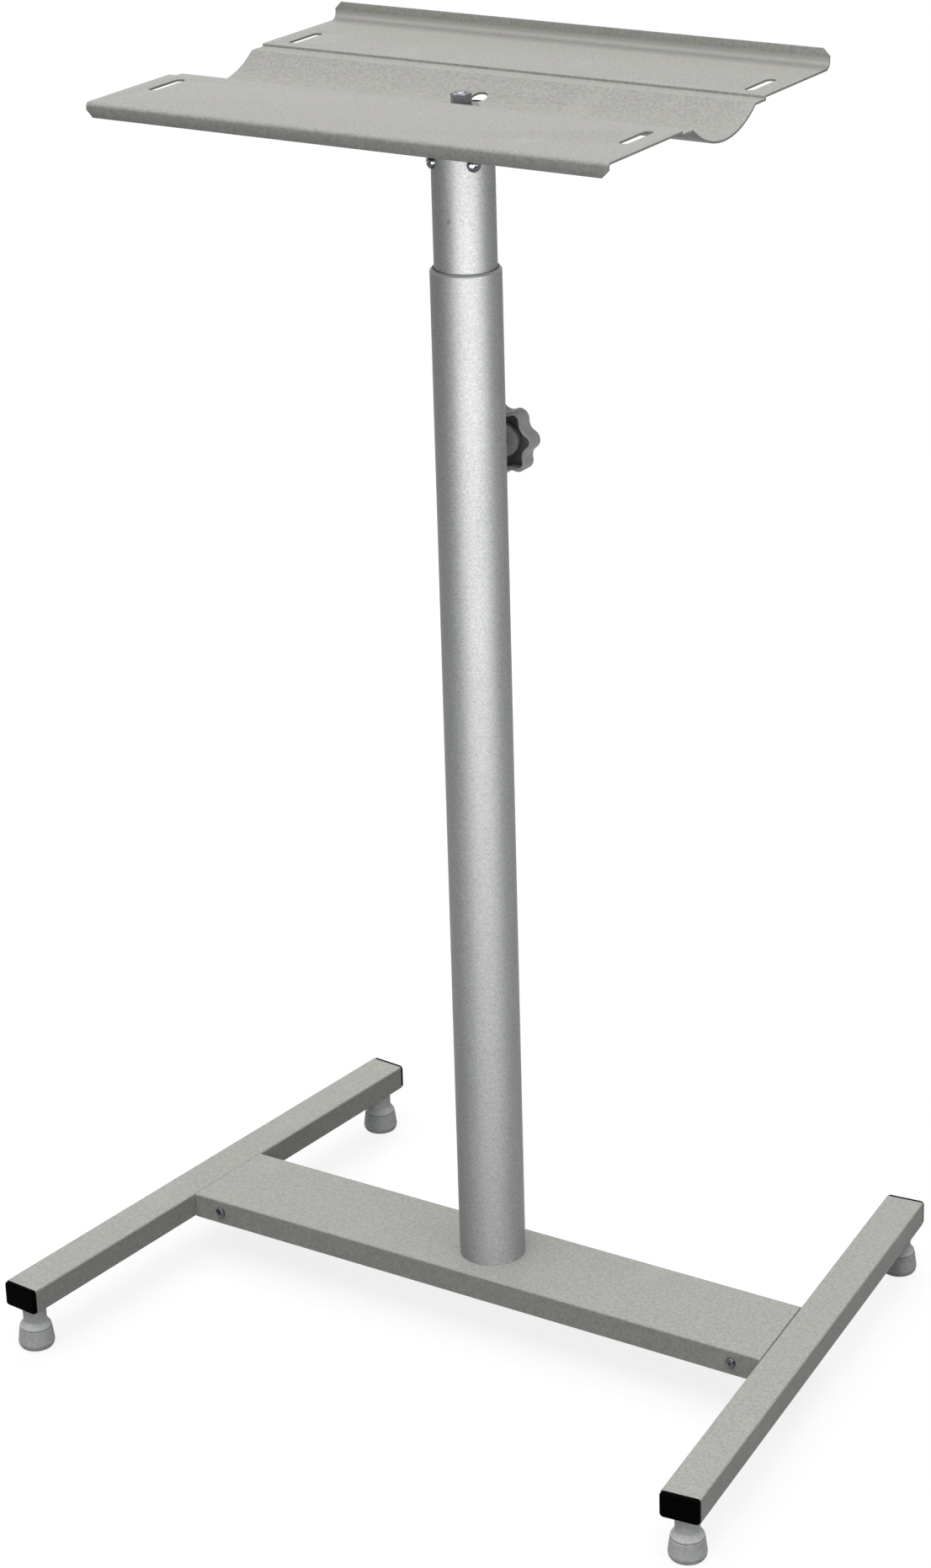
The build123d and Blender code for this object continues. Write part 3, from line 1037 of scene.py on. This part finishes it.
@dataclass
class Mast:
    """The inner tube's screws and the tray's nut and bolt."""

    finishes: Finishes
    screw: PanScrew = PanScrew(4.9 * MM, 3.9 * MM)
    screw_drop: float = 29 * MM
    first_turn: float = -39.0
    nut_bore: float = 4.05 * MM
    nut_round: float = 0.9 * MM
    nut_turn: float = 49.0
    head_height: float = 5.5 * MM
    bolt_crest: float = 4 * MM
    bolt_pitch: float = 1.25 * MM
    bolt_over: float = 0.7 * MM

    def tube_screws(self) -> None:
        """Four domed heads round the top of the inner tube."""
        low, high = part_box("inner_tube")
        radius = (high.x - low.x) / 2
        for k in range(4):
            angle = math.radians(self.first_turn - 90 * k)
            outward = Vector((math.cos(angle), math.sin(angle), 0.0))
            spot = outward * radius + Vector((0, 0, high.z - self.screw_drop))
            mesh = self.screw.at(spot, outward, 0.4 + 0.7 * k)
            new_piece(f"tube_screw_{k + 1}", mesh, Body.MAST, self.finishes.screw)

    def tray_fixing(self) -> None:
        """A chamfered nut and a threaded bolt in place of the plain ones."""
        zinc = self.finishes.by_slot[Slot.ZINC]
        nut_low, nut_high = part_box("tray_nut")
        nut = HexForm(nut_high.y - nut_low.y, nut_high.z - nut_low.z, self.nut_bore).mesh()
        nut = softened(nut, self.nut_round)
        turn = Matrix.Rotation(math.radians(self.nut_turn), 4, "Z")
        nut.transform(Matrix.Translation((0, 0, nut_low.z)) @ turn)
        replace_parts(new_piece("tray_hex_nut", nut, Body.MAST, zinc), "tray_nut")
        low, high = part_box("tray_bolt")
        bolt = Bolt(HexForm(high.y - low.y, self.head_height), self.bolt_crest, self.bolt_pitch)
        mesh = bolt.mesh(low.z, nut_high.z + self.bolt_over)
        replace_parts(new_piece("tray_hex_bolt", mesh, Body.MAST, zinc), "tray_bolt")

    def build(self) -> None:
        """Make everything on the mast."""
        self.tube_screws()
        self.tray_fixing()


@dataclass
class TraySheet:
    """The folded sheet with its soft bends, strap slots, holes and chamfered lips."""

    finishes: Finishes
    sheet: float = 1.5 * MM
    lip_up: float = 12.8 * MM
    lip_down: float = 10.0 * MM
    rear_bend: float = 5.0 * MM
    front_bend: float = 3.0 * MM
    plate_in: float = 55.9 * MM
    step: float = 2.15 * MM
    step_round: float = 0.7 * MM
    ledge_in: float = 42.3 * MM
    trough: float = 68.0 * MM
    chamfer: float = 5.0 * MM
    slot_at: tuple[float, float] = (182 * MM, 84 * MM)
    slot_size: tuple[float, float] = (37 * MM, 7.2 * MM)
    bolt_hole: float = 4.4 * MM
    spare_hole: float = 6.0 * MM
    spare_at: float = 22.5 * MM
    hole_level: float = 4.0 * MM
    cutter_half: float = 6.0 * MM
    edge: float = 0.3 * MM

    @staticmethod
    def arc(y: float, z: float, radius: float, start: float, end: float, steps: int = 8) -> Profile:
        """Points along an arc.

        Args:
            y: Its centre's place.
            z: Its centre's level.
            radius: Its radius.
            start: First angle, in degrees.
            end: Last angle, in degrees.
            steps: Parts it is divided into.

        Returns:
            The points, both ends with them.
        """
        turns = [math.radians(start + (end - start) * i / steps) for i in range(steps + 1)]
        return [(y + radius * math.cos(a), z + radius * math.sin(a)) for a in turns]

    def half_skins(self, plate: float, way: int) -> tuple[Profile, Profile]:
        """Upper and lower skins of one side, from the plate's inner part to the trough's lowest line.

        Args:
            plate: Level of the plates' tops.
            way: -1 in front, 1 behind.

        Returns:
            The upper and the lower skin.
        """
        ledge = plate - self.step
        centre = ledge + math.sqrt(self.trough ** 2 - self.ledge_in ** 2)
        small = self.step_round
        upper = self.arc(self.plate_in + small, plate - small, small, 90, 180, 4)
        upper += self.arc(self.plate_in - small, ledge + small, small, 0, -90, 4)
        open_angle = math.degrees(math.asin(self.ledge_in / self.trough))
        upper += self.arc(0.0, centre, self.trough, -90 + open_angle, -90, 20)
        below = self.trough + self.sheet
        low_angle = math.degrees(math.acos((centre - ledge + self.sheet) / below))
        inner = self.plate_in + self.sheet
        lower = [(inner, plate - self.sheet), (inner, ledge - self.sheet)]
        lower += self.arc(0.0, centre, below, -90 + low_angle, -90, 20)
        return [(way * y, z) for y, z in upper], [(way * y, z) for y, z in lower]

    def outline(self, plate: float, edge: float, short: float) -> Profile:
        """The section's closed outline.

        Args:
            plate: Level of the plates' tops.
            edge: Distance from the middle to the lips' outer faces.
            short: What the lips lack in height here.

        Returns:
            The outline, round from the front lip's lower edge.
        """
        thick, bend, rear = self.sheet, self.front_bend, self.rear_bend
        front_mid, rear_mid = (-edge + bend, plate - bend), (edge - thick - rear, plate + rear)
        front_end, rear_end = plate - self.lip_down + short, plate + self.lip_up - short
        front_up, front_low = self.half_skins(plate, -1)
        rear_up, rear_low = self.half_skins(plate, 1)
        upper = [(-edge, front_end)] + self.arc(*front_mid, bend, 180, 90)
        upper += front_up + rear_up[-2::-1]
        upper += self.arc(*rear_mid, rear, -90, 0, 12) + [(edge - thick, rear_end)]
        lower = [(-edge + thick, front_end)] + self.arc(*front_mid, bend - thick, 180, 90)
        lower += front_low + rear_low[-2::-1]
        lower += self.arc(*rear_mid, rear + thick, -90, 0, 12) + [(edge, rear_end)]
        return upper + lower[::-1]

    def opening(self, x: float, y: float, length: float, width: float, level: float) -> bpy.types.Mesh:
        """Cutter with round ends along Y; a round hole where length and width are equal.

        Args:
            x: Its place across.
            y: Its place along.
            length: Its whole length.
            width: Its width.
            level: Height of its middle.

        Returns:
            A closed cutter.
        """
        half, radius, steps = (length - width) / 2, width / 2, 24
        kept = steps + 1 if half > 0 else steps
        ends = self.arc(0.0, half, radius, 0, 180, steps)[:kept]
        ends += self.arc(0.0, -half, radius, 180, 360, steps)[:kept]
        levels = (level - self.cutter_half, level + self.cutter_half)
        return grid_mesh("opening", [[Vector((x + a, y + b, z)) for a, b in ends] for z in levels])

    def build(self) -> None:
        """Make the tray's sheet in place of the plain one."""
        low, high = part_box("tray")
        plate, edge, reach = high.z - self.lip_up, high.y, high.x
        inner = reach - self.chamfer
        ends = ((-reach, self.chamfer), (-inner, 0.0), (0.0, 0.0), (inner, 0.0), (reach, self.chamfer))
        rows = [[Vector((x, y, z)) for y, z in self.outline(plate, edge, short)] for x, short in ends]
        mesh = grid_mesh("tray_sheet", rows)
        for side in (-1, 1):
            for way in (-1, 1):
                spot = (side * self.slot_at[0], way * self.slot_at[1])
                mesh = cut(mesh, self.opening(*spot, *self.slot_size, plate))
        for y, radius in ((0.0, self.bolt_hole), (self.spare_at, self.spare_hole)):
            mesh = cut(mesh, self.opening(0.0, y, 2 * radius, 2 * radius, low.z + self.hole_level))
        mesh = softened(mesh, self.edge)
        piece = new_piece("tray_sheet", mesh, Body.MAST, self.finishes.tray_coat)
        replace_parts(piece, "tray")


# Studio


@dataclass
class Studio:
    """Camera, lamps, world and floor."""

    eye: Place = (1.3163, -2.0924, 1.4891)
    yaw: float = 32.417
    pitch: float = -22.928
    roll: float = -1.674
    focal_px: float = 4407.2
    frame_h_px: float = 1862.0
    sensor: float = 36.0
    aim: Place = (0.0, 0.0, 0.5)
    lamp_tint: Colour = (0.93, 0.985, 1.0)
    sheen_tint: Colour = (1.0, 0.985, 1.0)
    fill: float = 0.05
    floor_half: float = 12.0
    floor_lit: Colour = (0.14, 0.14, 0.14)
    floor_seen: Colour = (0.96, 0.96, 0.96)
    floor_glow: float = 0.84

    def camera(self) -> None:
        """Place the camera at the photograph's angle."""
        yaw, pitch, roll = (math.radians(v) for v in (self.yaw, self.pitch, self.roll))
        ahead = Vector((-math.sin(yaw) * math.cos(pitch), math.cos(yaw) * math.cos(pitch), math.sin(pitch)))
        level = Vector((math.cos(yaw), math.sin(yaw), 0.0))
        above = level.cross(ahead)
        right = math.cos(roll) * level + math.sin(roll) * above
        up = math.cos(roll) * above - math.sin(roll) * level
        data = bpy.data.cameras.new("camera")
        data.sensor_fit = "AUTO"
        data.sensor_width = self.sensor
        data.lens = self.focal_px / self.frame_h_px * self.sensor
        data.clip_start, data.clip_end = 0.05, 60.0
        data.dof.use_dof = False
        camera = linked("camera", data)
        turn = Matrix((right, up, -ahead)).transposed().to_4x4()
        camera.matrix_world = Matrix.Translation(self.eye) @ turn
        bpy.context.scene.camera = camera

    def lamp(self, name: str, spot: Place, size: tuple[float, float], watts: float) -> bpy.types.Object:
        """Add one soft area lamp that faces the stand's middle.

        Args:
            name: The lamp's name.
            spot: Where it stands.
            size: Its width and height, in metres.
            watts: Its power.

        Returns:
            The lamp.
        """
        data = bpy.data.lights.new(name, "AREA")
        data.shape = "RECTANGLE"
        data.size, data.size_y = size
        data.energy = watts
        data.color = self.lamp_tint
        light = linked(name, data)
        light.location = spot
        light.rotation_mode = "QUATERNION"
        light.rotation_quaternion = (Vector(self.aim) - Vector(spot)).to_track_quat("-Z", "Y")
        light.visible_camera = False
        return light

    def sky_lamp(self, name: str, towards: Place, spread: float, strength: float) -> None:
        """Add one wide lamp so far away that it lights every level alike.

        Args:
            name: The lamp's name.
            towards: Direction from the object to the lamp.
            spread: Its width in the sky, in degrees.
            strength: Its light on a surface that faces it.
        """
        data = bpy.data.lights.new(name, "SUN")
        data.angle = math.radians(spread)
        data.energy = strength
        light = linked(name, data)
        light.rotation_mode = "QUATERNION"
        light.rotation_quaternion = Vector(towards).to_track_quat("Z", "Y")

    def world(self) -> None:
        """White behind the object and in its reflections, and a plain grey fill."""
        world = bpy.data.worlds.new("studio")
        bpy.context.scene.world = world
        sheet = Sheet(world, "ShaderNodeOutputWorld")
        fill = sheet.node("ShaderNodeBackground", {}, {"Color": WHITE, "Strength": self.fill})
        white = sheet.node("ShaderNodeBackground", {}, {"Color": WHITE, "Strength": 1.0})
        sheet.finish(sheet.node("ShaderNodeMixShader", {}, {0: sheet.seen(), 1: fill, 2: white}))

    def floor(self) -> None:
        """A wide pale floor that keeps a soft shadow."""
        half = self.floor_half
        mesh = bpy.data.meshes.new("floor")
        corners = [(-half, -half, 0), (half, -half, 0), (half, half, 0), (-half, half, 0)]
        mesh.from_pydata(corners, [], [(0, 1, 2, 3)])
        floor = linked("floor", mesh)
        sheet = Surface("pale_floor")
        seen = sheet.seen()
        tone = sheet.blend(seen, self.floor_lit, self.floor_seen)
        sheet.set(Base_Color=tone, Roughness=0.9, Specular_IOR_Level=0.1)
        matt = Wire(sheet, sheet.shader.outputs[0])
        glow = sheet.node("ShaderNodeEmission", {}, {"Color": WHITE, "Strength": 1.0})
        sheet.finish(sheet.node("ShaderNodeMixShader", {}, {0: seen * self.floor_glow, 1: matt, 2: glow}))
        mesh.materials.append(sheet.material)

    def build(self) -> None:
        """Make the studio."""
        self.camera()
        self.world()
        self.floor()
        self.sky_lamp("overhead", (-0.02, -0.1, 1.0), 70.0, 3.42)
        self.lamp("front", (0.6, -1.9, 1.0), (0.45, 0.45), 6.5)
        self.lamp("side", (1.4, -0.5, 0.8), (0.5, 0.5), 2.3)
        sheen = self.lamp("sheen", (0.96, -1.14, 0.5), (3.3, 0.8), 126.0)
        sheen.visible_diffuse = False
        sheen.data.color = self.sheen_tint
        self.lamp("rear", (-1.0, 1.8, 0.7), (0.8, 0.8), 8.0).visible_glossy = False
        log.info("studio ready")

    def limit_sheen(self) -> None:
        """Let the sheen lamp light only the two tubes, the rim and the tube screws."""
        lit = bpy.data.collections.new("sheen_pieces")
        for name in ("column_tube", "inner_tube", "rim_bush"):
            lit.objects.link(frame["nodes"][name])
        for k in range(4):
            lit.objects.link(bpy.data.objects[f"tube_screw_{k + 1}"])
        bpy.data.objects["sheen"].light_linking.receiver_collection = lit


def main() -> None:
    """Build the studio, dress the nodes and add the small pieces."""
    logging.basicConfig(level=logging.INFO, format="%(name)s: %(message)s")
    bpy.context.scene.view_settings.view_transform = "Standard"
    studio = Studio()
    studio.build()
    finishes = Finishes()
    finishes.dress_nodes()
    for assembly in (Base(finishes), Clamp(finishes), Mast(finishes), TraySheet(finishes)):
        assembly.build()
    studio.limit_sheen()


if __name__ == "__main__":
    main()
